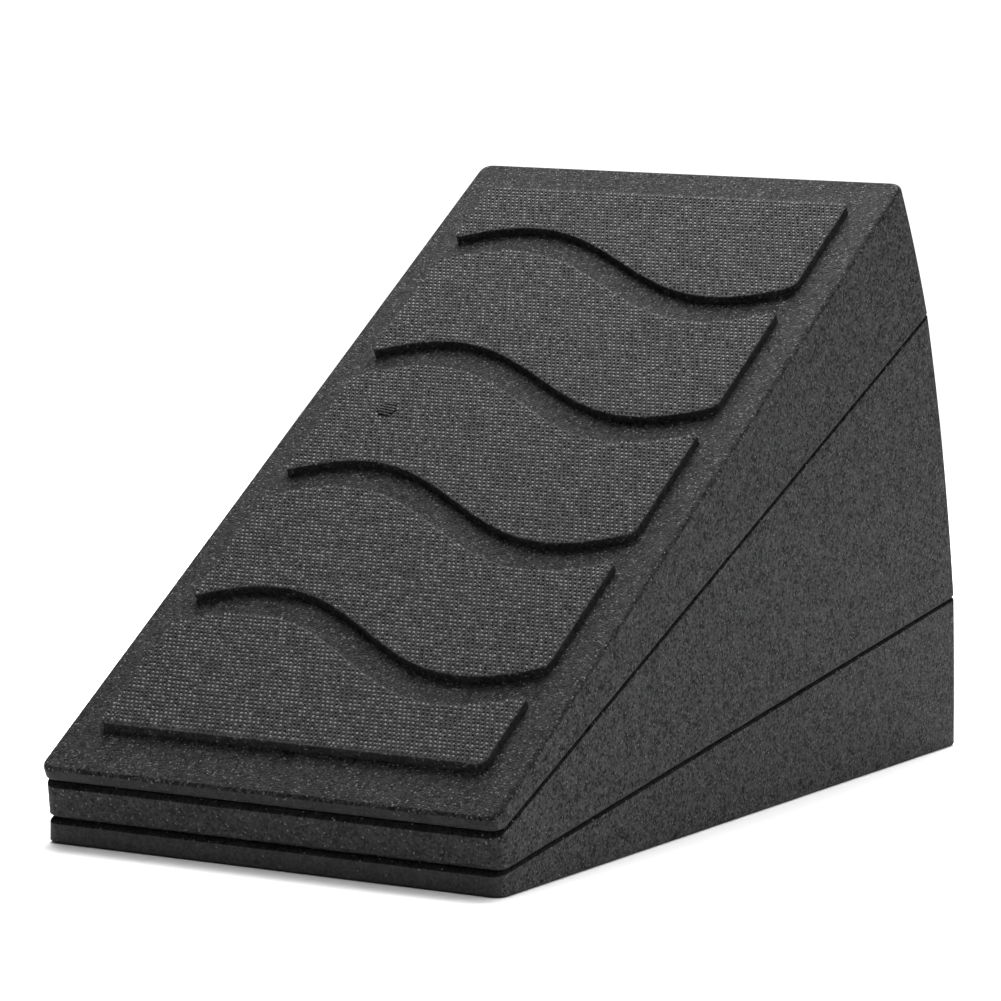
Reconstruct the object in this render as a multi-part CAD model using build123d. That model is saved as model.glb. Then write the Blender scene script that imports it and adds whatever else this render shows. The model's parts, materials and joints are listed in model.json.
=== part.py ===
from build123d import *
import os
from math import cos, pi, radians, sin

# A calf-stretch slant board: three moulded bead-foam wedges that stack on each other.
# Every wedge is one moulding.  Five raised foot pads stand on its sloped face, and the
# wedge above has pockets of the same outline in its underside, so that the stack locks.
# Millimetres and degrees.  +X across the board, +Y towards its high end, +Z up.

# Driving dimensions
BOARD_WIDTH = 150.0
FACE_LENGTH = 300.0
CORNER_RADIUS = 3.0
FACE_EDGE_RADIUS = 2.0
UNDERSIDE_EDGE_RADIUS = 1.0

# Each wedge from the floor up: slope of its face against its underside, height of its
# front wall, bulge of its curved back wall, and whether its underside has pad pockets
WEDGES = {
    "base_wedge": {"slope": 8.0, "front": 7.1, "bulge": 0.3, "pockets": False},
    "middle_wedge": {"slope": 16.5, "front": 10.7, "bulge": 2.0, "pockets": True},
    "top_wedge": {"slope": 8.0, "front": 5.4, "bulge": 0.8, "pockets": True},
}

# Foot pads: a field of five, split by four channels that follow one sine wave
PAD_COUNT = 5
PAD_HEIGHT = 3.0
PAD_ROOT = 1.0
PAD_CORNER_RADIUS = 2.0
SIDE_MARGIN = 11.7
FRONT_MARGIN = 17.8
BACK_MARGIN = 16.0
FIRST_CHANNEL = 61.5
CHANNEL_PITCH = 60.0
CHANNEL_WIDTH = 12.2
WAVE_HEIGHT = 15.0
WAVE_LENGTH = 152.0
WAVE_POINTS = 13

# Pockets: the pads' outlines grown by a clearance, a little deeper than a pad is high
POCKET_CLEARANCE = 0.4
POCKET_DEPTH = 3.4


def wave_edge(place, half_width):
    """The wavy edge of a pad, from left to right: high on the left, low on the right."""
    steps = [i / (WAVE_POINTS - 1) for i in range(WAVE_POINTS)]
    across = [half_width * (2 * step - 1) for step in steps]
    return [(x, place - WAVE_HEIGHT * sin(2 * pi * x / WAVE_LENGTH)) for x in across]


def pad_outline(number, grow=0.0):
    """Flat outline of one pad, number 0 at the front, as a face on the XY plane."""
    half_width = BOARD_WIDTH / 2 - SIDE_MARGIN + grow
    low_side = FRONT_MARGIN - grow
    high_side = FACE_LENGTH - BACK_MARGIN + grow
    low = [(-half_width, low_side), (half_width, low_side)]
    high = [(-half_width, high_side), (half_width, high_side)]
    if number > 0:
        channel = FIRST_CHANNEL + CHANNEL_PITCH * (number - 1)
        low = wave_edge(channel + CHANNEL_WIDTH / 2 - grow, half_width)
    if number < PAD_COUNT - 1:
        channel = FIRST_CHANNEL + CHANNEL_PITCH * number
        high = wave_edge(channel - CHANNEL_WIDTH / 2 + grow, half_width)
    sides = [Line(low[0], high[0]), Line(low[-1], high[-1])]
    edges = [Line(*points) if len(points) == 2 else Spline(*points) for points in (low, high)]
    outline = make_face(Curve() + sides + edges)
    return fillet(outline.vertices(), PAD_CORNER_RADIUS + grow)


def pads(grow=0.0):
    """The five pad outlines, ready to be raised or sunk."""
    return [pad_outline(number, grow) for number in range(PAD_COUNT)]


def wedge_block(slope, front, bulge):
    """A wedge with rounded edges and no pads: underside on Z = 0, front wall at Y = 0."""
    run = FACE_LENGTH * cos(radians(slope))
    rise = FACE_LENGTH * sin(radians(slope))
    high_corner = (run, front + rise)
    profile = Curve() + [
        Line((0, 0), (FACE_LENGTH, 0)),
        SagittaArc((FACE_LENGTH, 0), high_corner, -bulge),
        Line(high_corner, (0, front)),
        Line((0, front), (0, 0)),
    ]
    block = extrude(make_face(Plane.YZ * profile), BOARD_WIDTH / 2, both=True)
    end_walls = [block.faces().sort_by(Axis.Y)[0], block.faces().sort_by(Axis.Y)[-1]]
    upright = [e for wall in end_walls for e in wall.edges() if abs((e @ 1 - e @ 0).X) < 1]
    block = fillet(upright, CORNER_RADIUS)
    flats = block.faces().filter_by(GeomType.PLANE).sort_by(lambda f: f.normal_at().Z)
    face_edges = flats[-1].edges()
    underside_edges = flats[0].edges()
    block = fillet(face_edges, FACE_EDGE_RADIUS)
    return fillet(underside_edges, UNDERSIDE_EDGE_RADIUS)


def wedge(slope, front, bulge, pockets):
    """A whole wedge in its own place, with pads on its face and pockets underneath."""
    block = wedge_block(slope, front, bulge)
    face_seat = Pos(0, 0, front) * Rot(slope, 0, 0)
    for outline in pads():
        block += face_seat * Pos(0, 0, -PAD_ROOT) * extrude(outline, PAD_ROOT + PAD_HEIGHT)
    if pockets:
        for outline in pads(POCKET_CLEARANCE):
            block -= Pos(0, 0, -PAD_ROOT) * extrude(outline, PAD_ROOT + POCKET_DEPTH)
    return block


# The stack, from the floor up: each wedge sits on the face of the one below
stack = {}
seat = Location()
for name, shape in WEDGES.items():
    stack[name] = seat * wedge(**shape)
    seat = seat * Pos(0, 0, shape["front"]) * Rot(shape["slope"], 0, 0)

# The origin is on the floor, under the middle of the stack's length and width
boxes = [solid.bounding_box() for solid in stack.values()]
front_end = min(box.min.Y for box in boxes)
high_end = max(box.max.Y for box in boxes)
to_origin = Pos(0, -(front_end + high_end) / 2, 0)

os.makedirs("parts", exist_ok=True)
for name, solid in stack.items():
    placed = to_origin * solid
    placed.label = name
    export_step(placed, os.path.join("parts", name + ".step"))
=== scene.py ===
import json
from collections import namedtuple
from math import atan2, cos, pi, radians, sin

import bmesh
import bpy
from bpy.props import FloatProperty, FloatVectorProperty, IntProperty, PointerProperty
from mathutils import Matrix, Vector


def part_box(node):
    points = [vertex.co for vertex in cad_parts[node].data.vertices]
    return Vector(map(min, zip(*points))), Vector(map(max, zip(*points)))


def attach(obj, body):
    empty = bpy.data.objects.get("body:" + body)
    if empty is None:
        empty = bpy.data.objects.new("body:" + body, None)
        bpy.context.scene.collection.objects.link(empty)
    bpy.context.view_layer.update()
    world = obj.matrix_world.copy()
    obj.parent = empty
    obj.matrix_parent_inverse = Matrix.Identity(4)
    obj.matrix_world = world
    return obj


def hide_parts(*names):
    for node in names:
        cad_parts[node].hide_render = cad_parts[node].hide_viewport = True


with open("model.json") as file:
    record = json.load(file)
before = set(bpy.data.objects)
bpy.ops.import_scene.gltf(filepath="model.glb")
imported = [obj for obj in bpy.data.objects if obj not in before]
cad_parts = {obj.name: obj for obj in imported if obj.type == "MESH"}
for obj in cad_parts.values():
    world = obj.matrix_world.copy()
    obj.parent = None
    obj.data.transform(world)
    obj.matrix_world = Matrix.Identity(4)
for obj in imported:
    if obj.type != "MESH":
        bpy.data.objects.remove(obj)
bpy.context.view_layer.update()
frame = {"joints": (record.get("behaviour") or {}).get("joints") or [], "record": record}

bl_info = {
    "name": "Slant Board",
    "version": (1, 0, 0),
    "blender": (4, 5, 0),
    "location": "View3D > Sidebar > Slant Board",
    "description": "Makes a calf-stretch slant board of three stacked bead-foam wedges",
    "category": "Add Mesh",
}

# The three wedges from the floor up: the CAD body that each rides on, and its CAD node
WEDGES = {"base": "base_wedge", "middle": "middle_wedge", "top": "top_wedge"}

# Finish of each block's front wall and of the edges round its face; on the base and middle wedges
# those edges take painted shade, a darker colour where the wedge above shades them
WALL_FINISHES = {
    # The base wedge's front wall takes painted light: a lighter colour for light that does not
    # reach it low by the floor
    "base": ("Foam foot wall", "Foam seam"),
    "middle": ("Foam middle wall", "Foam seam"),
    "top": ("Foam lip", "Foam grained face"),
}

# A foam finish: its colour setting, the height of its grains in metres, how much its black
# varies, the share of its grains painted with a glint, its roughness and its gloss
FoamFinish = namedtuple("FoamFinish", "colour depth mottle glints roughness gloss")
FOAM_FINISHES = {
    "Foam skin": FoamFinish("skin", 0.00015, 0.8, 0.30, 0.70, 0.05),
    "Foam grained face": FoamFinish("face", 0.00030, 0.9, 0.60, 0.72, 0.07),
    "Foam seam": FoamFinish("seam", 0.00010, 0.5, 0.10, 0.80, 0.00),
    "Foam foot wall": FoamFinish("foot_wall", 0.00006, 0.3, 0.05, 0.55, 0.08),
    "Foam middle wall": FoamFinish("middle_wall", 0.00010, 0.6, 0.35, 0.60, 0.08),
    "Foam lip": FoamFinish("lip", 0.00006, 0.4, 0.08, 0.55, 0.08),
    "Foam pad": FoamFinish("pad", 0.00025, 0.6, 0.30, 0.65, 0.08),
}

# Shade of a grain: how much its bead's patch shifts it, how much of it gets a painted glint,
# measured from its middle, and how far its edge dips
PATCH_SHARE = 0.8
GRAIN_CORE = 0.42
GRAIN_DIP = -0.6

# Shade of a nub: its least, what its grain and its own tone add, and the tone above which a nub
# gets a painted glint
NUB_LEAST_SHADE = 0.1
NUB_GRAIN_SHARE = 0.5
NUB_TONE_SHARE = 1.1
PAINTED_GLINT_TONE = 0.93
PAINTED_GLINT_SHARE = 0.5
NUB_RELIEF = 0.0001
NUB_ROUGHNESS = 0.6
NUB_GLOSS = 0.08

# Sizes of the foam's beads and grains, and of the patches where the nubs are lower, in metres
BEAD_SIZE = 0.004
GRAIN_SIZE = 0.0007
NUB_GRAIN_SIZE = 0.0006
CLUMP_SIZE = 0.006

# How squarely a side must point up the slope or to the front to take these finishes, where
# 1 is straight at it
FLAT_FACE = 0.985
ROUNDED_RIM = 0.35
FRONT_WALL = 0.6

# Curves and rounded edges are cut into this many steps
CORNER_STEPS = 5
RIM_STEPS = 3
BACK_WALL_STEPS = 16
WAVE_STEPS = 48
FLOOR_STEPS = 96

# Nubs of the weave turn this much either way at random, in radians
NUB_SWING = 0.2

# Size of a nub: its least and what chance adds, and its height's mean and how much it varies
NUB_LEAST_SIZE = 0.85
NUB_SIZE_SPREAD = 0.25
NUB_MEAN_HEIGHT = 0.8
NUB_HEIGHT_SPREAD = 0.8

# Height and shade of a nub in a worn spot, as shares of the full ones
WORN_HEIGHT = 0.45
WORN_TONE = -0.15

# Points nearer than this are one, and an edge this near a pad's side lies on it, in metres
MERGE_DISTANCE = 1e-6
NEAR_SIDE = 1e-5

# Vent and ejector marks on the foot face, as places across from its middle and up from its
# front edge, in metres
SLOTTED_VENTS = [(-0.0430, 0.1677)]
WORN_VENTS = [
    (-0.0102, 0.1613),
    (-0.0211, 0.0887),
    (0.0030, 0.0932),
    (-0.0402, 0.0445),
    (0.0085, 0.0399),
    (0.0283, 0.1444),
    (0.0452, 0.0329),
]
EJECTOR_MARKS = [(0.0540, 0.1275), (0.0350, 0.1235), (-0.0300, 0.1650)]

# An ejector mark is this share of a nub's foot wide each way, and shows only this far below
# its middle, in metres
RING_SHARE = 0.8
RING_START = 0.001

# The bars of a slotted vent: how far they turn, and their width as a share of the slot pitch
VENT_TURN = radians(-8)
BAR_SHARE = 0.6

# The softboxes: where each stands, how wide it is, and the setting that holds its power
SOFTBOXES = {
    "Top softbox": ((-0.14, 0.32, 0.9), 0.8, "top_power"),
    "Front softbox": ((0.2, -0.5, 1.3), 0.8, "front_power"),
    "Side softbox": ((1.5, 0.9, 0.9), 1.2, "side_power"),
}
LIGHT_AIM = (0.0, 0.0, 0.08)
FLOOR_RADIUS = 1.1
FLOOR_GREY = 0.9
BACKDROP_LIGHT = 1.2


# ---------------- settings


def length_setting(name, description, default):
    """A setting that holds a length in metres."""
    return FloatProperty(name=name, description=description, default=default, unit="LENGTH")


def wedge_lengths(name, description, default):
    """A setting that holds a length for the base, the middle and the top wedge."""
    return FloatVectorProperty(name=name, description=description, default=default, unit="LENGTH")


def number_setting(name, description, default):
    """A setting that holds a plain number."""
    return FloatProperty(name=name, description=description, default=default)


def angle_setting(name, description, degrees):
    """A setting that holds an angle, which the sidebar shows in degrees."""
    default = radians(degrees)
    return FloatProperty(name=name, description=description, default=default, subtype="ANGLE")


def colour_setting(name, description, default):
    """A setting that holds a colour."""
    return FloatVectorProperty(
        name=name, description=description, default=default, subtype="COLOR", min=0.0, max=1.0
    )


class WedgeSettings(bpy.types.PropertyGroup):
    """Sizes of the three foam blocks, each list from the base wedge up."""

    face_length: length_setting(
        "Face length", "Length of every sloped face and of the underside", 0.300
    )
    front_walls: wedge_lengths(
        "Front walls", "Height of the front wall", (0.0071, 0.0107, 0.0054)
    )
    back_bulges: wedge_lengths(
        "Back bulges", "How far the back wall curves out", (0.0003, 0.0020, 0.0008)
    )
    corner_radius: length_setting("Corner radius", "Rounding of the upright corners", 0.0040)
    front_edge_radii: wedge_lengths(
        "Front edge radii", "Rounding between front wall and face", (0.0018, 0.0016, 0.0013)
    )
    face_edge_radii: wedge_lengths(
        "Face edge radii", "Rounding round the rest of the face", (0.0007, 0.0007, 0.0020)
    )
    underside_radii: wedge_lengths(
        "Underside radii", "Rounding round the underside", (0.0008, 0.0008, 0.0008)
    )
    front_underside_radii: wedge_lengths(
        "Front underside radii", "Rounding under the front wall", (0.0012, 0.0022, 0.0038)
    )
    edge_shapes: FloatVectorProperty(
        name="Edge shapes",
        description="Shape of those edges, where 0.5 is a quarter circle and 0.25 a flat chamfer",
        default=(0.30, 0.30, 0.45),
    )


class PadSettings(bpy.types.PropertyGroup):
    """Sizes of the foot pads and of the pockets that take them."""

    count: IntProperty(name="Pads", description="Foot pads on each face", default=5, min=2)
    height: length_setting("Height", "How far a pad stands up", 0.00275)
    root: length_setting("Root", "How deep a pad goes into its wedge", 0.001)
    side_margin: length_setting("Side margin", "Face left clear at each side", 0.0117)
    front_margin: length_setting("Front margin", "Face left clear in front", 0.0178)
    back_margin: length_setting("Back margin", "Face left clear at the back", 0.016)
    first_channel: length_setting(
        "First channel", "From the front edge to the middle of the first channel", 0.0615
    )
    channel_pitch: length_setting("Channel pitch", "From channel to channel", 0.060)
    channel_width: length_setting("Channel width", "Gap between two pads", 0.0122)
    wave_height: length_setting("Wave height", "Swing of a channel to each side", 0.015)
    wave_length: length_setting("Wave length", "Length of one whole wave", 0.152)
    corner_radius: length_setting("Corner radius", "Rounding of a pad's corners", 0.0028)
    rim_radius: length_setting("Rim radius", "Rounding of a pad's upper edge", 0.0005)
    pocket_clearance: length_setting("Pocket clearance", "Gap between pad and pocket", 0.0004)
    pocket_depth: length_setting("Pocket depth", "Depth of the pockets", 0.0034)


class WeaveSettings(bpy.types.PropertyGroup):
    """Sizes of the woven grip texture on the pads."""

    pitch_across: length_setting("Pitch across", "From nub to nub in a row", 0.00148)
    pitch_along: length_setting("Pitch along", "From row to row", 0.00163)
    nub_foot: length_setting("Nub foot", "Radius of a nub at its foot", 0.00058)
    nub_top: length_setting("Nub top", "Radius of a nub at its top", 0.00038)
    nub_height: length_setting("Nub height", "How far a nub stands up", 0.0006)
    nub_root: length_setting("Nub root", "How deep a nub goes into its pad", 0.0001)
    nub_width: number_setting("Nub width", "Width of a nub as a share of a round one", 0.85)
    nub_length: number_setting("Nub length", "Length of a nub as a share of a round one", 1.15)
    nub_turn: angle_setting(
        "Nub turn", "How far the long way of a nub turns from straight up the face", 24.5
    )
    edge_gap: length_setting("Edge gap", "Clear strip along a pad's edge", 0.0006)
    vent_radius: length_setting("Vent radius", "Radius of a steam vent mark", 0.003)
    slot_pitch: length_setting("Slot pitch", "From slot to slot in a vent mark", 0.0012)
    bar_height: length_setting("Bar height", "How far a vent's bars stand up", 0.0005)
    ejector_radius: length_setting("Ejector radius", "Radius of an ejector mark", 0.0042)
    seed: IntProperty(name="Seed", description="Seed of the random nub sizes", default=7)


class FoamColours(bpy.types.PropertyGroup):
    """Colours of the foam."""

    skin: colour_setting("Skin", "Foam on the sides and the back", (0.031, 0.031, 0.0316))
    face: colour_setting("Face", "Grained foam round the pads", (0.012, 0.012, 0.0122))
    # Painted light: the base wedge's front wall is painted lighter than the walls above it,
    # standing in for light that does not reach it low by the floor
    foot_wall: colour_setting(
        "Foot wall", "Smooth foam on the front of the base wedge", (0.031, 0.031, 0.0316)
    )
    middle_wall: colour_setting(
        "Middle wall", "Grained foam on the front of the middle wedge", (0.022, 0.022, 0.0224)
    )
    lip: colour_setting(
        "Lip", "Smooth foam on the front of the top wedge", (0.018, 0.018, 0.0183)
    )
    # Painted shade: the face edges of the lower two wedges, under the next wedge, are painted
    # darker and without gloss where the wedge above shades them
    seam: colour_setting(
        "Seam", "Foam of the edges that lie under the next wedge", (0.010, 0.010, 0.0102)
    )
    pad: colour_setting("Pad", "Foam between the nubs", (0.014, 0.014, 0.0143))
    # Painted light: the nubs are painted far lighter than the rest of the foam, standing in for
    # their lit tops
    nub: colour_setting("Nub", "Foam of the nubs", (0.096, 0.096, 0.0979))
    # Painted highlight: a bright colour put on a few grains and nubs in place of light glinting
    # off them
    glint: colour_setting("Glint", "Shiny grains in the foam", (0.12, 0.12, 0.1225))


class StageSettings(bpy.types.PropertyGroup):
    """The floor, the lights and the camera."""

    aim: FloatVectorProperty(
        name="Aim",
        description="Point that the camera looks at",
        default=(-0.0078, -0.0041, 0.0890),
        subtype="XYZ",
        unit="LENGTH",
    )
    distance: length_setting("Distance", "From the camera to its aim", 1.5483)
    turn: angle_setting("Turn", "How far the camera stands round to the right", 29.33)
    height_angle: angle_setting("Height angle", "How far the camera looks down", 7.0)
    roll: angle_setting("Roll", "Roll of the camera", 0.75)
    lens: number_setting("Lens", "Focal length in millimetres", 184.4)
    top_power: number_setting("Top power", "Power of the overhead softbox in watts", 26.0)
    side_power: number_setting("Side power", "Power of the softbox on the right in watts", 14.0)
    front_power: number_setting("Front power", "Power of the softbox over the front in watts", 6.0)
    room_light: number_setting("Room light", "Strength of the light from all round", 0.2)


SETTINGS = {
    "slant_wedges": WedgeSettings,
    "slant_pads": PadSettings,
    "slant_weave": WeaveSettings,
    "slant_colours": FoamColours,
    "slant_stage": StageSettings,
}


# ---------------- where each wedge sits


def lean(direction):
    """How far an upward direction leans back towards the front edge, in radians."""
    return atan2(-direction[1], direction[2])


def wedge_slopes():
    """Slope of each wedge's face against its underside, from the frame's joints and mount."""
    axes = {joint["name"]: joint["axis"] for joint in frame["joints"]}
    mounts = {mount["name"]: mount["axis"] for mount in frame["record"]["mounts"]}
    directions = (axes["middle_lift"], axes["top_lift"], mounts["foot_face"])
    tilts = [0.0, *map(lean, directions)]
    return {body: above - below for body, below, above in zip(WEDGES, tilts, tilts[1:])}


def seats():
    """Matrices of each wedge's underside and face, with local Y up them from the front edge."""
    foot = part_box(WEDGES["base"])[0]
    underside = Matrix.Translation((0.0, foot.y, foot.z))
    found = {}
    front_walls = bpy.context.scene.slant_wedges.front_walls
    for (body, slope), front in zip(wedge_slopes().items(), front_walls):
        turn = Matrix.Rotation(slope, 4, "X")
        face = underside @ Matrix.Translation((0.0, 0.0, front)) @ turn
        found[body] = (underside, face)
        underside = face
    return found


def face_seats():
    """Matrix of each wedge's sloped face."""
    return {body: face for body, (underside, face) in seats().items()}


def board_width():
    """Width of the board, from the frame."""
    low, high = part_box(WEDGES["base"])
    return high.x - low.x


# ---------------- node helpers


def feed(tree, socket, value):
    """Links an output to a socket, or sets the socket's own value."""
    if isinstance(value, bpy.types.NodeSocket):
        tree.links.new(value, socket)
    else:
        socket.default_value = value


def add_node(tree, kind, values=None, **options):
    """Adds a node, with its options set and its inputs fed by name or number."""
    made = tree.nodes.new(kind)
    for name, option in options.items():
        setattr(made, name, option)
    for key, value in (values or {}).items():
        feed(tree, made.inputs[key], value)
    return made


def calc(tree, operation, *values):
    """One Math node of a geometry or material tree; returns its output."""
    made = add_node(tree, "ShaderNodeMath", dict(enumerate(values)), operation=operation)
    return made.outputs[0]


def all_of(tree, *values):
    """1 where every value is 1, else 0."""
    result = values[0]
    for value in values[1:]:
        result = calc(tree, "MULTIPLY", result, value)
    return result


def pick(tree, choice, when_no, when_yes):
    """when_yes where choice is 1, else when_no."""
    share = calc(tree, "MULTIPLY", calc(tree, "SUBTRACT", when_yes, when_no), choice)
    return calc(tree, "ADD", share, when_no)


def remap(tree, value, start, end, new_start, new_end):
    """Stretches the range start to end onto the new one."""
    ends = {1: start, 2: end, 3: new_start, 4: new_end}
    return add_node(tree, "ShaderNodeMapRange", {0: value, **ends}).outputs[0]


def noise(tree, place, size, roughness=0.5):
    """Cloudy noise with blobs of about that size."""
    values = {"Vector": place, "Scale": 1 / size, "Detail": 2.0, "Roughness": roughness}
    return add_node(tree, "ShaderNodeTexNoise", values).outputs["Fac"]


def vector(tree, x=0.0, y=0.0, z=0.0):
    """Joins three numbers into a vector."""
    return add_node(tree, "ShaderNodeCombineXYZ", {0: x, 1: y, 2: z}).outputs[0]


def parts_of(tree, value):
    """The X, Y and Z of a vector."""
    return add_node(tree, "ShaderNodeSeparateXYZ", {0: value}).outputs


def position(tree):
    """Where each point is."""
    return add_node(tree, "GeometryNodeInputPosition").outputs[0]


def random_number(tree, low, high, seed):
    """A random number from low to high for each point."""
    values = {"Min": low, "Max": high, "Seed": seed}
    made = add_node(tree, "FunctionNodeRandomValue", values, data_type="FLOAT")
    return [output for output in made.outputs if output.enabled][0]


def copies(tree, points, shape, **values):
    """Copies of a shape on points, turned or scaled if the values say so."""
    inputs = {"Points": points, "Instance": shape, **values}
    return add_node(tree, "GeometryNodeInstanceOnPoints", inputs).outputs[0]


def lifted(tree, geometry, height):
    """The geometry, moved up."""
    inputs = {"Geometry": geometry, "Translation": vector(tree, z=height)}
    return add_node(tree, "GeometryNodeTransform", inputs).outputs[0]


def stored(tree, geometry, name, value, domain):
    """The geometry, with a number kept on it under that name."""
    return add_node(
        tree,
        "GeometryNodeStoreNamedAttribute",
        {"Geometry": geometry, "Name": name, "Value": value},
        data_type="FLOAT",
        domain=domain,
    ).outputs[0]


SOCKETS = {
    int: "NodeSocketInt",
    float: "NodeSocketFloat",
    bpy.types.Object: "NodeSocketObject",
    bpy.types.Material: "NodeSocketMaterial",
}


def new_geometry_tree(name, values):
    """A geometry tree that has an input for each of the values, under the value's own name."""
    tree = bpy.data.node_groups.new(name, "GeometryNodeTree")
    tree.interface.new_socket("Geometry", in_out="OUTPUT", socket_type="NodeSocketGeometry")
    for label, value in values.items():
        tree.interface.new_socket(label, in_out="INPUT", socket_type=SOCKETS[type(value)])
    return tree, add_node(tree, "NodeGroupInput").outputs


def close_tree(tree, geometry, material):
    """Ends a geometry tree: the instances made real, with their material."""
    real = add_node(tree, "GeometryNodeRealizeInstances", {"Geometry": geometry})
    painted = add_node(
        tree,
        "GeometryNodeSetMaterial",
        {"Geometry": real.outputs[0], "Material": material},
    )
    out = add_node(tree, "NodeGroupOutput")
    tree.links.new(painted.outputs[0], out.inputs[0])


def link_piece(name, mesh):
    """A new object of that mesh, at the origin."""
    piece = bpy.data.objects.new(name, mesh)
    bpy.context.scene.collection.objects.link(piece)
    return piece


def evaluated_mesh(piece):
    """The piece's mesh with its modifiers applied, as a plain mesh."""
    graph = bpy.context.evaluated_depsgraph_get()
    mesh = bpy.data.meshes.new_from_object(piece.evaluated_get(graph), depsgraph=graph)
    mesh.name = piece.name
    return mesh


def made_by_nodes(name, tree, values, place):
    """Runs a geometry tree with these input values and returns its plain mesh, put in place."""
    carrier = link_piece(name, bpy.data.meshes.new(name))
    modifier = carrier.modifiers.new(tree.name, "NODES")
    modifier.node_group = tree
    for item in tree.interface.items_tree:
        if item.in_out == "INPUT":
            modifier[item.identifier] = values[item.name]
    mesh = evaluated_mesh(carrier)
    mesh.transform(place)
    bpy.data.objects.remove(carrier)
    return mesh


def even_shading(piece):
    """Keeps flat faces flat next to rounded edges."""
    piece.data.shade_smooth()
    weighted = piece.modifiers.new("Even shading", "WEIGHTED_NORMAL")
    weighted.weight = 80
    weighted.mode = "FACE_AREA"


def finish_piece(piece, body):
    """Puts a piece on its CAD body."""
    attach(piece, body)


# ---------------- materials


def new_material(name, roughness, gloss):
    """A material of that roughness and gloss, and its node tree."""
    material = bpy.data.materials.new(name)
    material.use_nodes = True
    shader = material.node_tree.nodes["Principled BSDF"]
    shader.inputs["Roughness"].default_value = roughness
    shader.inputs["Specular IOR Level"].default_value = gloss
    return material, material.node_tree


def dress(tree, colour, shade, glint, relief, depth, strength):
    """Feeds a foam shader: its colour times the shade, painted glints over that, and relief as
    bump.
    """
    shader = tree.nodes["Principled BSDF"]
    base = add_node(
        tree, "ShaderNodeVectorMath", {0: tuple(colour), 1: shade}, operation="MULTIPLY"
    ).outputs[0]
    painted_glint_colour = (*bpy.context.scene.slant_colours.glint, 1.0)
    mixed = add_node(tree, "ShaderNodeMix", {0: glint, 6: base, 7: painted_glint_colour}, data_type="RGBA")
    tree.links.new(mixed.outputs[2], shader.inputs["Base Color"])
    values = {"Height": relief, "Distance": depth, "Strength": strength}
    bump = add_node(tree, "ShaderNodeBump", values)
    tree.links.new(bump.outputs[0], shader.inputs["Normal"])


def foam_material(name):
    """Moulded bead foam of the named finish."""
    finish = FOAM_FINISHES[name]
    material, tree = new_material(name, finish.roughness, finish.gloss)
    place = add_node(tree, "ShaderNodeTexCoord").outputs["Object"]
    beads = noise(tree, place, BEAD_SIZE, 0.55)
    grains = noise(tree, place, GRAIN_SIZE, 0.6)
    pebbles = add_node(
        tree,
        "ShaderNodeTexVoronoi",
        {"Vector": place, "Scale": 1 / GRAIN_SIZE, "Randomness": 1.0},
    )
    # Every grain has its own shade, on top of the paler and darker patches of the beads
    chances = add_node(tree, "ShaderNodeSeparateColor", {0: pebbles.outputs["Color"]}).outputs
    paler = calc(tree, "SUBTRACT", beads, 0.5)
    patches = calc(tree, "MULTIPLY_ADD", paler, PATCH_SHARE, chances[1])
    shade = remap(tree, patches, 0.0, 1.0, 1 - finish.mottle, 1 + finish.mottle)
    # Painted glints: a grain is painted bright by its own chance, the luckier the brighter, in
    # place of light glinting off it
    luck = remap(tree, chances[0], 1 - finish.glints, 1.0, 0.0, 1.0)
    middle = calc(tree, "LESS_THAN", pebbles.outputs["Distance"], GRAIN_CORE)
    glint = all_of(tree, luck, luck, luck, middle)
    relief = calc(tree, "MULTIPLY_ADD", pebbles.outputs["Distance"], GRAIN_DIP, grains)
    colour = getattr(bpy.context.scene.slant_colours, finish.colour)
    dress(tree, colour, shade, glint, relief, finish.depth, 1.0)
    return material


def nub_material():
    """The nubs of the weave: each its own shade, painted far lighter than the rest of the foam for
    their lit tops, and a few with painted glints.
    """
    material, tree = new_material("Foam nub", NUB_ROUGHNESS, NUB_GLOSS)
    place = add_node(tree, "ShaderNodeTexCoord").outputs["Object"]
    tone = add_node(tree, "ShaderNodeAttribute", attribute_name="tone").outputs["Fac"]
    grains = noise(tree, place, NUB_GRAIN_SIZE)
    grained = calc(tree, "MULTIPLY_ADD", grains, NUB_GRAIN_SHARE, NUB_LEAST_SHADE)
    shade = calc(tree, "MULTIPLY_ADD", tone, NUB_TONE_SHARE, grained)
    has_painted_glint = calc(tree, "GREATER_THAN", tone, PAINTED_GLINT_TONE)
    glint = calc(tree, "MULTIPLY", has_painted_glint, PAINTED_GLINT_SHARE)
    dress(tree, bpy.context.scene.slant_colours.nub, shade, glint, grains, NUB_RELIEF, 0.8)
    return material


def foam_finish(name):
    """The named foam finish, made the first time it is asked for."""
    if name not in bpy.data.materials:
        foam_material(name)
    return bpy.data.materials[name]


# ---------------- foot pads


def pad_rule_values(grow=0.0):
    """Where the pads and channels lie, as tree inputs; grow widens every pad all round."""
    pads = bpy.context.scene.slant_pads
    return {
        "Count": pads.count,
        "Half width": board_width() / 2 - pads.side_margin + grow,
        "Face length": bpy.context.scene.slant_wedges.face_length,
        "Front margin": pads.front_margin - grow,
        "Back margin": pads.back_margin - grow,
        "First channel": pads.first_channel,
        "Channel pitch": pads.channel_pitch,
        "Channel width": pads.channel_width - 2 * grow,
        "Wave height": pads.wave_height,
        "Wave length": pads.wave_length,
    }


def pad_values(height, finish, grow=0.0):
    """Inputs of the foot pad tree, for solids of that height and finish."""
    root = bpy.context.scene.slant_pads.root
    return {
        **pad_rule_values(grow),
        "Floor": -root,
        "Thickness": root + height,
        "Material": foam_finish(finish),
    }


def wave(tree, given, across):
    """How far the channels swing down the face at that place across it."""
    turn = calc(tree, "DIVIDE", calc(tree, "MULTIPLY", across, 2 * pi), given["Wave length"])
    return calc(tree, "MULTIPLY", calc(tree, "SINE", turn), given["Wave height"])


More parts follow.
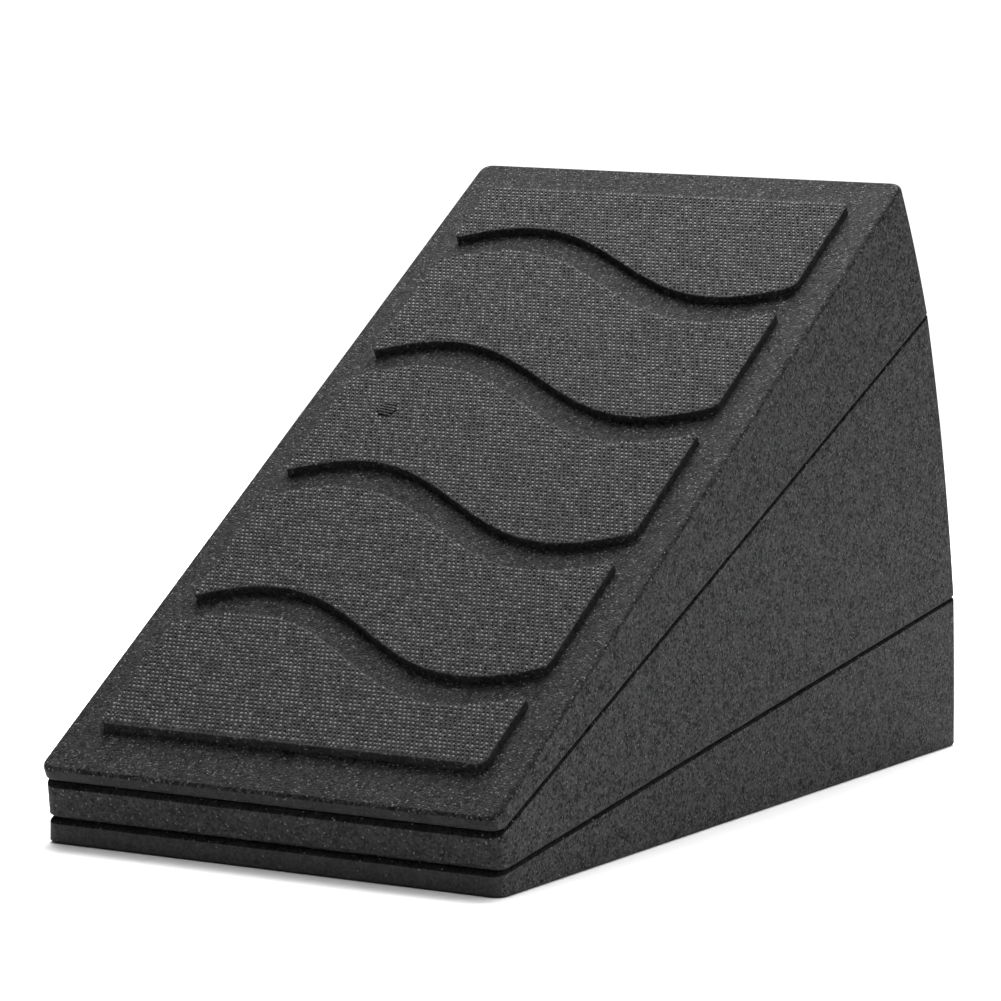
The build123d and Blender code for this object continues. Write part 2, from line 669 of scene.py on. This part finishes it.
def pad_tree(values):
    """Geometry nodes for the pads: sheets bent to the wave, then raised into solids."""
    tree, given = new_geometry_tree("Foot pads", values)
    sheet = add_node(
        tree,
        "GeometryNodeMeshGrid",
        {"Size X": 1.0, "Size Y": 1.0, "Vertices X": WAVE_STEPS + 1, "Vertices Y": 2},
    )
    # Each sheet starts at a height equal to its number
    numbers = add_node(
        tree, "GeometryNodeMeshLine", {"Count": given["Count"], "Offset": (0.0, 0.0, 1.0)}
    )
    flat_copies = copies(tree, numbers.outputs[0], sheet.outputs[0])
    sheets = add_node(tree, "GeometryNodeRealizeInstances", {0: flat_copies})
    spot = parts_of(tree, position(tree))
    across = calc(tree, "MULTIPLY", calc(tree, "MULTIPLY", spot["X"], 2.0), given["Half width"])
    share = calc(tree, "ADD", spot["Y"], 0.5)
    number = spot["Z"]
    swing = wave(tree, given, across)
    half_channel = calc(tree, "MULTIPLY", given["Channel width"], 0.5)
    upper_channel = calc(
        tree,
        "SUBTRACT",
        calc(tree, "MULTIPLY_ADD", given["Channel pitch"], number, given["First channel"]),
        swing,
    )
    lower_channel = calc(tree, "SUBTRACT", upper_channel, given["Channel pitch"])
    is_first = calc(tree, "LESS_THAN", number, 0.5)
    is_last = calc(tree, "GREATER_THAN", number, calc(tree, "SUBTRACT", given["Count"], 1.5))
    low_edge = pick(
        tree, is_first, calc(tree, "ADD", lower_channel, half_channel), given["Front margin"]
    )
    high_edge = pick(
        tree,
        is_last,
        calc(tree, "SUBTRACT", upper_channel, half_channel),
        calc(tree, "SUBTRACT", given["Face length"], given["Back margin"]),
    )
    along = calc(
        tree, "MULTIPLY_ADD", calc(tree, "SUBTRACT", high_edge, low_edge), share, low_edge
    )
    bent = add_node(
        tree,
        "GeometryNodeSetPosition",
        {
            "Geometry": sheets.outputs[0],
            "Position": vector(tree, across, along, given["Floor"]),
        },
    )
    raised = add_node(
        tree,
        "GeometryNodeExtrudeMesh",
        {
            "Mesh": bent.outputs[0],
            "Offset": (0.0, 0.0, 1.0),
            "Offset Scale": given["Thickness"],
            "Individual": False,
        },
        mode="FACES",
    )
    floors = add_node(tree, "GeometryNodeFlipFaces", {"Mesh": bent.outputs[0]})
    joined = add_node(tree, "GeometryNodeJoinGeometry")
    tree.links.new(raised.outputs["Mesh"], joined.inputs[0])
    tree.links.new(floors.outputs[0], joined.inputs[0])
    closed = add_node(
        tree,
        "GeometryNodeMergeByDistance",
        {"Geometry": joined.outputs[0], "Distance": MERGE_DISTANCE},
    )
    # The upright corner edges are the ones that get a radius
    middle = parts_of(tree, position(tree))
    half_way = calc(tree, "MULTIPLY_ADD", given["Thickness"], 0.5, given["Floor"])
    off_middle = calc(tree, "ABSOLUTE", calc(tree, "SUBTRACT", middle["Z"], half_way))
    side = calc(tree, "SUBTRACT", given["Half width"], NEAR_SIDE)
    at_side = calc(tree, "GREATER_THAN", calc(tree, "ABSOLUTE", middle["X"]), side)
    upright = calc(tree, "LESS_THAN", off_middle, NEAR_SIDE)
    corners = all_of(tree, at_side, upright)
    marked = stored(tree, closed.outputs[0], "bevel_weight_edge", corners, "EDGE")
    close_tree(tree, marked, given["Material"])
    return tree


def round_pad_corners(piece, corner_radius):
    """Rounds the upright corners of the pads or of their pockets."""
    corners = piece.modifiers.new("Corners", "BEVEL")
    corners.limit_method = "WEIGHT"
    corners.width = corner_radius
    corners.segments = CORNER_STEPS


def round_pad_rims(piece):
    """Rounds the upper edges of the pads."""
    rim = piece.modifiers.new("Rim", "BEVEL")
    rim.limit_method = "ANGLE"
    rim.angle_limit = radians(60)
    rim.width = bpy.context.scene.slant_pads.rim_radius
    rim.segments = RIM_STEPS


# ---------------- the blocks


def side_profile(slope, front, bulge, length):
    """Corner points of a wedge seen from its side, as (along, up), front bottom corner first."""
    foot = Vector((length, 0.0))
    crown = Vector((length * cos(slope), front + length * sin(slope)))
    rise = crown - foot
    outward = Vector((rise.y, -rise.x)).normalized()
    wall = []
    for step in range(BACK_WALL_STEPS + 1):
        share = step / BACK_WALL_STEPS
        wall.append(foot + rise * share + outward * (4 * bulge * share * (1 - share)))
    return [Vector((0.0, 0.0)), *wall, Vector((0.0, front))]


def edge_radius(edge, side_radius, front_radius, length):
    """Radius for one edge round the face or the underside, which has its own along the front."""
    run = (edge.verts[1].co - edge.verts[0].co).normalized()
    near_front = (edge.verts[0].co.y + edge.verts[1].co.y) / 2 < length / 2
    share = run.x * run.x if near_front else 0.0
    return side_radius + (front_radius - side_radius) * share


def block_mesh(name, slope, front, bulge, radii):
    """A wedge block with its edges still sharp, and the radius of each as a bevel weight."""
    sizes = bpy.context.scene.slant_wedges
    half = board_width() / 2
    profile = side_profile(slope, front, bulge, sizes.face_length)
    shape = bmesh.new()
    left = [shape.verts.new((-half, along, up)) for along, up in profile]
    right = [shape.verts.new((half, along, up)) for along, up in profile]
    shape.faces.new(left[::-1])
    shape.faces.new(right)
    for start in range(len(profile)):
        end = (start + 1) % len(profile)
        shape.faces.new((left[start], left[end], right[end], right[start]))
    bmesh.ops.recalc_face_normals(shape, faces=shape.faces)
    walls = [start for start in range(1, len(profile) - 2)] + [len(profile) - 1]
    uprights = []
    for row in (left, right):
        for start in walls:
            ends = (row[start], row[(start + 1) % len(profile)])
            uprights.append(shape.edges.get(ends))
    bmesh.ops.bevel(
        shape,
        geom=uprights,
        offset=sizes.corner_radius,
        segments=CORNER_STEPS,
        profile=0.5,
        affect="EDGES",
    )
    shape.normal_update()
    up_face = max(shape.faces, key=lambda face: face.normal.z * face.calc_area())
    underside = min(shape.faces, key=lambda face: face.normal.z * face.calc_area())
    weight = shape.edges.layers.float.new("bevel_weight_edge")
    largest = max(radii)
    front_radius, face_radius, underside_radius, lip_radius = radii
    for edge in up_face.edges:
        edge[weight] = edge_radius(edge, face_radius, front_radius, sizes.face_length) / largest
    for edge in underside.edges:
        edge[weight] = edge_radius(edge, underside_radius, lip_radius, sizes.face_length) / largest
    mesh = bpy.data.meshes.new(name)
    shape.to_mesh(mesh)
    shape.free()
    return mesh


def paint_block(mesh, slope_up, slope_front, front_finish, rim_finish):
    """Gives each side of a block its finish, by the way its faces point."""
    for finish in ("Foam skin", "Foam grained face", front_finish, rim_finish):
        mesh.materials.append(foam_finish(finish))
    for polygon in mesh.polygons:
        upward = polygon.normal.dot(slope_up)
        polygon.material_index = 0
        if upward > FLAT_FACE:
            polygon.material_index = 1
        # Rounded rims take the rim finish, which on the lower two wedges is painted shade
        elif upward > ROUNDED_RIM:
            polygon.material_index = 3
        elif polygon.normal.dot(slope_front) > FRONT_WALL:
            polygon.material_index = 2


def round_block_edges(block, width, profile):
    """Rounds the edges of a block by their bevel weights."""
    edges = block.modifiers.new("Edges", "BEVEL")
    edges.limit_method = "WEIGHT"
    edges.width = width
    edges.segments = CORNER_STEPS
    edges.profile = profile


def cut_pockets(block, cutter):
    """Takes the shape of the cutter out of a block's underside."""
    cut = block.modifiers.new("Pockets", "BOOLEAN")
    cut.operation = "DIFFERENCE"
    cut.solver = "EXACT"
    cut.object = cutter


class SLANTBOARD_OT_wedge_blocks(bpy.types.Operator):
    """Makes the three foam blocks, with pad pockets in the undersides of the upper two"""

    bl_idname = "slantboard.wedge_blocks"
    bl_label = "Wedge blocks"

    def execute(self, context):
        sizes = context.scene.slant_wedges
        pads = context.scene.slant_pads
        grow = pads.pocket_clearance
        pocket_values = pad_values(pads.pocket_depth, "Foam skin", grow)
        pockets = pad_tree(pocket_values)
        slopes = wedge_slopes()
        places = seats()
        for number, (body, node) in enumerate(WEDGES.items()):
            underside, face = places[body]
            front, bulge = sizes.front_walls[number], sizes.back_bulges[number]
            radii = (
                sizes.front_edge_radii[number],
                sizes.face_edge_radii[number],
                sizes.underside_radii[number],
                sizes.front_underside_radii[number],
            )
            name = f"{body}_block"
            mesh = block_mesh(name, slopes[body], front, bulge, radii)
            mesh.transform(underside)
            block = link_piece(name, mesh)
            round_block_edges(block, max(radii), sizes.edge_shapes[number])
            if body == "base":
                block.data = evaluated_mesh(block)
            else:
                solid = made_by_nodes("cutter", pockets, pocket_values, underside)
                cutter = link_piece("cutter", solid)
                round_pad_corners(cutter, pads.corner_radius + grow)
                cut_pockets(block, cutter)
                block.data = evaluated_mesh(block)
                bpy.data.objects.remove(cutter)
            block.modifiers.clear()
            block.data.name = name
            block.data.materials.clear()
            slope_up = face.to_3x3() @ Vector((0, 0, 1))
            slope_front = underside.to_3x3() @ Vector((0, -1, 0))
            paint_block(block.data, slope_up, slope_front, *WALL_FINISHES[body])
            even_shading(block)
            finish_piece(block, body)
            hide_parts(node)
        return {"FINISHED"}


class SLANTBOARD_OT_foot_pads(bpy.types.Operator):
    """Makes the five wavy foot pads on each wedge's face"""

    bl_idname = "slantboard.foot_pads"
    bl_label = "Foot pads"

    def execute(self, context):
        pads = context.scene.slant_pads
        values = pad_values(pads.height, "Foam pad")
        tree = pad_tree(values)
        for body, place in face_seats().items():
            name = f"{body}_pads"
            piece = link_piece(name, made_by_nodes(name, tree, values, place))
            round_pad_corners(piece, pads.corner_radius)
            round_pad_rims(piece)
            even_shading(piece)
            finish_piece(piece, body)
        return {"FINISHED"}


# ---------------- the weave


def point_cloud(name, spots):
    """Points at those places on the face, for the nodes to measure from."""
    mesh = bpy.data.meshes.new(name)
    mesh.from_pydata([(across, along, 0.0) for across, along in spots], [], [])
    return link_piece(name, mesh)


def nearest_mark(tree, marks):
    """Distance from each point to the nearest point of an object, and where that is."""
    found = add_node(tree, "GeometryNodeObjectInfo", {"Object": marks}).outputs["Geometry"]
    return add_node(tree, "GeometryNodeProximity", {0: found}, target_element="POINTS").outputs


def nub_lattice(tree, given):
    """Points in rows over the field of pads, each row half a pitch off the next."""
    margins_off = calc(tree, "SUBTRACT", given["Face length"], given["Front margin"])
    field = calc(tree, "SUBTRACT", margins_off, given["Back margin"])
    width = calc(tree, "MULTIPLY", given["Half width"], 2.0)
    columns = calc(tree, "FLOOR", calc(tree, "DIVIDE", width, given["Pitch across"]))
    rows = calc(tree, "FLOOR", calc(tree, "DIVIDE", field, given["Pitch along"]))
    lattice = add_node(
        tree,
        "GeometryNodeMeshGrid",
        {
            "Size X": calc(tree, "MULTIPLY", columns, given["Pitch across"]),
            "Size Y": calc(tree, "MULTIPLY", rows, given["Pitch along"]),
            "Vertices X": calc(tree, "ADD", columns, 1.0),
            "Vertices Y": calc(tree, "ADD", rows, 1.0),
        },
    )
    spot = parts_of(tree, position(tree))
    middle = calc(tree, "MULTIPLY_ADD", field, 0.5, given["Front margin"])
    half_rows = calc(tree, "MULTIPLY", rows, 0.5)
    rows_up = calc(tree, "DIVIDE", spot["Y"], given["Pitch along"])
    row = calc(tree, "ROUND", calc(tree, "ADD", rows_up, half_rows))
    side = calc(tree, "SUBTRACT", calc(tree, "FLOORED_MODULO", row, 2.0), 0.5)
    half_pitch = calc(tree, "MULTIPLY", given["Pitch across"], 0.5)
    shift = calc(tree, "MULTIPLY", side, half_pitch)
    return add_node(
        tree,
        "GeometryNodeSetPosition",
        {"Geometry": lattice.outputs[0], "Offset": vector(tree, shift, middle)},
    ).outputs[0]


def channel_distance(tree, given, here):
    """How far up or down the face the middle of the nearest channel lies."""
    along = calc(tree, "ADD", here["Y"], wave(tree, given, here["X"]))
    above_first = calc(tree, "SUBTRACT", along, given["First channel"])
    channel = calc(tree, "DIVIDE", above_first, given["Channel pitch"])
    last_channel = calc(tree, "SUBTRACT", given["Count"], 2.0)
    below_last = calc(tree, "MINIMUM", calc(tree, "ROUND", channel), last_channel)
    nearest = calc(tree, "MAXIMUM", below_last, 0.0)
    off = calc(tree, "ABSOLUTE", calc(tree, "SUBTRACT", channel, nearest))
    return calc(tree, "MULTIPLY", off, given["Channel pitch"])


def channel_stretch(tree, given, across):
    """How much longer a channel's edge gap is up the face than square to the edge."""
    turn = calc(tree, "DIVIDE", calc(tree, "MULTIPLY", across, 2 * pi), given["Wave length"])
    steepest = calc(
        tree, "DIVIDE", calc(tree, "MULTIPLY", given["Wave height"], 2 * pi), given["Wave length"]
    )
    slope = calc(tree, "MULTIPLY", calc(tree, "COSINE", turn), steepest)
    return calc(tree, "SQRT", calc(tree, "MULTIPLY_ADD", slope, slope, 1.0))


def on_pads(tree, given, here):
    """1 on a pad, clear of its edges and of the slotted vents, else 0."""
    gap = given["Edge gap"]
    half_channel = calc(tree, "MULTIPLY", given["Channel width"], 0.5)
    stretch = channel_stretch(tree, given, here["X"])
    clear = calc(tree, "MULTIPLY_ADD", gap, stretch, half_channel)
    off_channel = calc(tree, "GREATER_THAN", channel_distance(tree, given, here), clear)
    side = calc(tree, "SUBTRACT", given["Half width"], gap)
    inside_sides = calc(tree, "LESS_THAN", calc(tree, "ABSOLUTE", here["X"]), side)
    front = calc(tree, "ADD", given["Front margin"], gap)
    front_clear = calc(tree, "GREATER_THAN", here["Y"], front)
    pads_end = calc(tree, "SUBTRACT", given["Face length"], given["Back margin"])
    back_clear = calc(tree, "LESS_THAN", here["Y"], calc(tree, "SUBTRACT", pads_end, gap))
    vents = nearest_mark(tree, given["Slotted vents"])
    rim = calc(tree, "MULTIPLY_ADD", given["Nub top"], 0.5, given["Vent radius"])
    off_vents = calc(tree, "GREATER_THAN", vents["Distance"], rim)
    return all_of(tree, off_channel, inside_sides, front_clear, back_clear, off_vents)


def in_worn_spots(tree, given, here):
    """1 inside the plain vents and along the lower side of the ejector rings, else 0."""
    vents = nearest_mark(tree, given["Worn vents"])
    in_vent = calc(tree, "LESS_THAN", vents["Distance"], given["Vent radius"])
    ejector = nearest_mark(tree, given["Ejector marks"])
    off_ring = calc(tree, "SUBTRACT", ejector["Distance"], given["Ejector radius"])
    ring_width = calc(tree, "MULTIPLY", given["Nub foot"], RING_SHARE)
    on_ring = calc(tree, "LESS_THAN", calc(tree, "ABSOLUTE", off_ring), ring_width)
    middle = parts_of(tree, ejector["Position"])
    above_middle = calc(tree, "SUBTRACT", here["Y"], middle["Y"])
    on_lower_side = calc(tree, "LESS_THAN", above_middle, -RING_START)
    return calc(tree, "MAXIMUM", in_vent, all_of(tree, on_ring, on_lower_side))


def weave_tree(values):
    """Geometry nodes for the weave: a small nub on every point of the lattice on the pads."""
    tree, given = new_geometry_tree("Woven grip", values)
    lattice = nub_lattice(tree, given)
    here = parts_of(tree, position(tree))
    off_pads = calc(tree, "LESS_THAN", on_pads(tree, given, here), 0.5)
    thinned = add_node(
        tree,
        "GeometryNodeDeleteGeometry",
        {"Geometry": lattice, "Selection": off_pads},
        domain="POINT",
    )
    # Nubs are low and dull in the worn spots
    worn = in_worn_spots(tree, given, here)
    tones = random_number(tree, 0.0, 1.0, given["Seed"])
    clumps = noise(tree, position(tree), CLUMP_SIZE)
    size = calc(tree, "MULTIPLY_ADD", tones, NUB_SIZE_SPREAD, NUB_LEAST_SIZE)
    higher = calc(tree, "SUBTRACT", clumps, 0.5)
    tall = calc(tree, "MULTIPLY_ADD", higher, NUB_HEIGHT_SPREAD, NUB_MEAN_HEIGHT)
    height = pick(tree, worn, calc(tree, "MINIMUM", tall, 1.0), WORN_HEIGHT)
    nub = add_node(
        tree,
        "GeometryNodeMeshCone",
        {
            "Vertices": 5,
            "Side Segments": 1,
            "Radius Top": given["Nub top"],
            "Radius Bottom": given["Nub foot"],
            "Depth": calc(tree, "ADD", given["Nub height"], given["Nub root"]),
        },
        fill_type="NGON",
    )
    turns = random_number(
        tree,
        calc(tree, "SUBTRACT", given["Nub turn"], NUB_SWING),
        calc(tree, "ADD", given["Nub turn"], NUB_SWING),
        calc(tree, "ADD", given["Seed"], 1.0),
    )
    wide = calc(tree, "MULTIPLY", size, given["Nub width"])
    long = calc(tree, "MULTIPLY", size, given["Nub length"])
    nubs = copies(
        tree,
        thinned.outputs[0],
        nub.outputs["Mesh"],
        Rotation=vector(tree, z=turns),
        Scale=vector(tree, wide, long, height),
    )
    toned = stored(tree, nubs, "tone", pick(tree, worn, tones, WORN_TONE), "INSTANCE")
    floor = calc(tree, "SUBTRACT", given["Pad height"], given["Nub root"])
    close_tree(tree, lifted(tree, toned, floor), given["Material"])
    return tree


class SLANTBOARD_OT_woven_grip(bpy.types.Operator):
    """Makes the woven grip texture of small nubs on every pad"""

    bl_idname = "slantboard.woven_grip"
    bl_label = "Woven grip"

    def execute(self, context):
        weave = context.scene.slant_weave
        marks = {
            "Slotted vents": point_cloud("slotted", SLOTTED_VENTS),
            "Worn vents": point_cloud("worn", WORN_VENTS),
            "Ejector marks": point_cloud("ejector", EJECTOR_MARKS),
        }
        values = {
            **pad_rule_values(),
            **marks,
            "Pitch across": weave.pitch_across,
            "Pitch along": weave.pitch_along,
            "Nub foot": weave.nub_foot,
            "Nub top": weave.nub_top,
            "Nub height": weave.nub_height,
            "Nub root": weave.nub_root,
            "Nub width": weave.nub_width,
            "Nub length": weave.nub_length,
            "Nub turn": weave.nub_turn,
            "Edge gap": weave.edge_gap,
            "Pad height": context.scene.slant_pads.height,
            "Vent radius": weave.vent_radius,
            "Ejector radius": weave.ejector_radius,
            "Seed": weave.seed,
            "Material": nub_material(),
        }
        tree = weave_tree(values)
        for number, (body, place) in enumerate(face_seats().items()):
            values["Seed"] = weave.seed + number
            name = f"{body}_weave"
            mesh = made_by_nodes(name, tree, values, place)
            mesh.shade_smooth()
            finish_piece(link_piece(name, mesh), body)
        for mark in marks.values():
            bpy.data.objects.remove(mark)
        return {"FINISHED"}


# ---------------- the vents


def vent_tree(values):
    """Geometry nodes for the slotted vents: bars side by side, cut to fit a circle."""
    tree, given = new_geometry_tree("Slotted vents", values)
    radius = given["Vent radius"]
    pitch = given["Slot pitch"]
    across = calc(tree, "MULTIPLY", radius, 2.0)
    bar_count = calc(tree, "FLOOR", calc(tree, "DIVIDE", across, pitch))
    gaps = calc(tree, "SUBTRACT", bar_count, 1.0)
    half_span = calc(tree, "MULTIPLY", gaps, calc(tree, "MULTIPLY", pitch, 0.5))
    rungs = add_node(
        tree,
        "GeometryNodeMeshLine",
        {
            "Count": bar_count,
            "Start Location": vector(tree, y=calc(tree, "MULTIPLY", half_span, -1.0)),
            "Offset": vector(tree, y=pitch),
        },
    )
    # Half the length of a bar, from its distance to the middle of the circle
    off_middle = parts_of(tree, position(tree))["Y"]
    radius_squared = calc(tree, "MULTIPLY", radius, radius)
    off_squared = calc(tree, "MULTIPLY", off_middle, off_middle)
    half_bar = calc(tree, "SQRT", calc(tree, "SUBTRACT", radius_squared, off_squared))
    bar_width = calc(tree, "MULTIPLY", pitch, BAR_SHARE)
    bar_depth = calc(tree, "ADD", given["Bar height"], given["Bar root"])
    bar = add_node(
        tree, "GeometryNodeMeshCube", {"Size": vector(tree, 2.0, bar_width, bar_depth)}
    )
    bars = copies(
        tree, rungs.outputs[0], bar.outputs["Mesh"], Scale=vector(tree, half_bar, 1.0, 1.0)
    )
    vents = add_node(tree, "GeometryNodeObjectInfo", {"Object": given["Vents"]})
    turn = vector(tree, z=given["Turn"])
    grilles = copies(tree, vents.outputs["Geometry"], bars, Rotation=turn)
    above_root = calc(tree, "SUBTRACT", given["Bar height"], given["Bar root"])
    middle = calc(tree, "MULTIPLY_ADD", above_root, 0.5, given["Pad height"])
    close_tree(tree, lifted(tree, grilles, middle), given["Material"])
    return tree


class SLANTBOARD_OT_vent_marks(bpy.types.Operator):
    """Makes the slotted steam vent marks on the pads"""

    bl_idname = "slantboard.vent_marks"
    bl_label = "Vent marks"

    def execute(self, context):
        weave = context.scene.slant_weave
        spots = point_cloud("slotted", SLOTTED_VENTS)
        values = {
            "Vents": spots,
            "Vent radius": weave.vent_radius,
            "Slot pitch": weave.slot_pitch,
            "Bar height": weave.bar_height,
            "Bar root": weave.nub_root,
            "Pad height": context.scene.slant_pads.height,
            "Turn": VENT_TURN,
            "Material": foam_finish("Foam pad"),
        }
        tree = vent_tree(values)
        for body, place in face_seats().items():
            name = f"{body}_vents"
            finish_piece(link_piece(name, made_by_nodes(name, tree, values, place)), body)
        bpy.data.objects.remove(spots)
        return {"FINISHED"}


# ---------------- the stage


def add_softbox(name, place, size, power):
    """A square area light that points at the middle of the board."""
    light = bpy.data.lights.new(name, "AREA")
    light.shape = "SQUARE"
    light.size = size
    light.energy = power
    lamp = bpy.data.objects.new(name, light)
    lamp.location = place
    down_beam = Vector(LIGHT_AIM) - Vector(place)
    lamp.rotation_euler = down_beam.to_track_quat("-Z", "Y").to_euler()
    bpy.context.scene.collection.objects.link(lamp)


def add_floor():
    """A plain pale floor."""
    shape = bmesh.new()
    bmesh.ops.create_circle(shape, cap_ends=True, segments=FLOOR_STEPS, radius=FLOOR_RADIUS)
    mesh = bpy.data.meshes.new("floor")
    shape.to_mesh(mesh)
    shape.free()
    paint, tree = new_material("Floor paint", 0.9, 0.0)
    shader = tree.nodes["Principled BSDF"]
    shader.inputs["Base Color"].default_value = (FLOOR_GREY, FLOOR_GREY, FLOOR_GREY, 1.0)
    mesh.materials.append(paint)
    link_piece("floor", mesh)


def add_world(strength):
    """Soft light from all round, behind which the camera sees plain white."""
    world = bpy.data.worlds.new("Studio")
    world.use_nodes = True
    tree = world.node_tree
    tree.nodes.clear()
    white = (1.0, 1.0, 1.0, 1.0)
    seen = add_node(tree, "ShaderNodeLightPath").outputs["Is Camera Ray"]
    soft = add_node(tree, "ShaderNodeBackground", {"Color": white, "Strength": strength})
    plain = add_node(tree, "ShaderNodeBackground", {"Color": white, "Strength": BACKDROP_LIGHT})
    mixed = add_node(
        tree, "ShaderNodeMixShader", {0: seen, 1: soft.outputs[0], 2: plain.outputs[0]}
    )
    out = add_node(tree, "ShaderNodeOutputWorld")
    tree.links.new(mixed.outputs[0], out.inputs[0])
    bpy.context.scene.world = world


def add_camera(settings):
    """The camera, turned about its aim."""
    data = bpy.data.cameras.new("Camera")
    data.lens = settings.lens
    data.clip_start = 0.1
    data.clip_end = 20.0
    camera = bpy.data.objects.new("Camera", data)
    bpy.context.scene.collection.objects.link(camera)
    turned = (
        Matrix.Rotation(settings.turn, 4, "Z")
        @ Matrix.Rotation(pi / 2 - settings.height_angle, 4, "X")
        @ Matrix.Rotation(settings.roll, 4, "Z")
    )
    away = Matrix.Translation((0.0, 0.0, settings.distance))
    camera.matrix_world = Matrix.Translation(settings.aim) @ turned @ away
    bpy.context.scene.camera = camera


class SLANTBOARD_OT_studio(bpy.types.Operator):
    """Makes the pale floor, the soft lights and the camera"""

    bl_idname = "slantboard.studio"
    bl_label = "Studio"

    def execute(self, context):
        settings = context.scene.slant_stage
        add_camera(settings)
        add_floor()
        add_world(settings.room_light)
        for name, (place, size, power) in SOFTBOXES.items():
            add_softbox(name, place, size, getattr(settings, power))
        context.scene.view_settings.view_transform = "Standard"
        return {"FINISHED"}


# ---------------- the panel


OPERATORS = (
    SLANTBOARD_OT_studio,
    SLANTBOARD_OT_wedge_blocks,
    SLANTBOARD_OT_foot_pads,
    SLANTBOARD_OT_woven_grip,
    SLANTBOARD_OT_vent_marks,
)


class SLANTBOARD_PT_sidebar(bpy.types.Panel):
    """Lists the steps that make the slant board"""

    bl_idname = "SLANTBOARD_PT_sidebar"
    bl_label = "Slant Board"
    bl_space_type = "VIEW_3D"
    bl_region_type = "UI"
    bl_category = "Slant Board"

    def draw(self, context):
        for operator in OPERATORS:
            self.layout.operator(operator.bl_idname)
        for name in SETTINGS:
            box = self.layout.box()
            group = getattr(context.scene, name)
            for setting in group.bl_rna.properties:
                if setting.identifier not in ("name", "rna_type"):
                    box.prop(group, setting.identifier)


def register():
    """Adds the settings, the operators and the panel."""
    for name, group in SETTINGS.items():
        bpy.utils.register_class(group)
        setattr(bpy.types.Scene, name, PointerProperty(type=group))
    for operator in OPERATORS:
        bpy.utils.register_class(operator)
    bpy.utils.register_class(SLANTBOARD_PT_sidebar)


def unregister():
    """Takes them away again."""
    bpy.utils.unregister_class(SLANTBOARD_PT_sidebar)
    for operator in reversed(OPERATORS):
        bpy.utils.unregister_class(operator)
    for name, group in SETTINGS.items():
        delattr(bpy.types.Scene, name)
        bpy.utils.unregister_class(group)


def main():
    """Makes the whole board."""
    register()
    bpy.ops.slantboard.studio()
    bpy.ops.slantboard.wedge_blocks()
    bpy.ops.slantboard.foot_pads()
    bpy.ops.slantboard.woven_grip()
    bpy.ops.slantboard.vent_marks()


if __name__ == "__main__":
    main()
